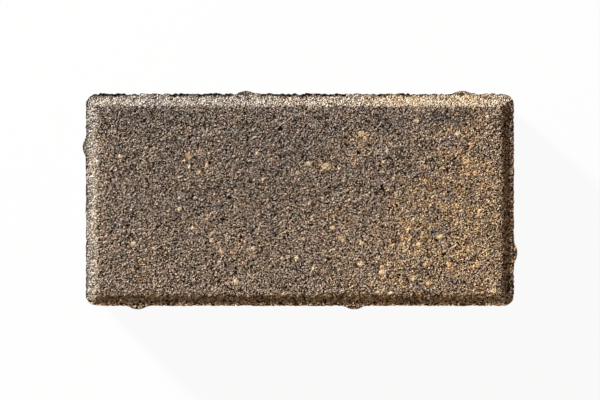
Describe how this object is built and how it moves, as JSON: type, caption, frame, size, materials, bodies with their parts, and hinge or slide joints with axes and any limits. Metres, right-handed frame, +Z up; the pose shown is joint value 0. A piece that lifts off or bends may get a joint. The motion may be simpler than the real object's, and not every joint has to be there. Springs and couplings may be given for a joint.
{
  "type": "rectangular concrete paver",
  "caption": "Rectangular pressed-concrete paver with a chamfered walking face, a thin rim round the chamfer and upright spacer nibs on its sides, for laying paths, yards and drives.",
  "frame": {"origin": "middle of the bed face, the underside that lies on the ground", "axes": "+X along the length, +Y across the width, +Z up through the walking face"},
  "size_m": [0.2016, 0.1016, 0.06],
  "materials": {
    "concrete": "rough, open-grained pressed concrete, grey-brown with an ochre bloom"
  },
  "bodies": {
    "root": {"paver": "concrete"}
  },
  "joints": []
}
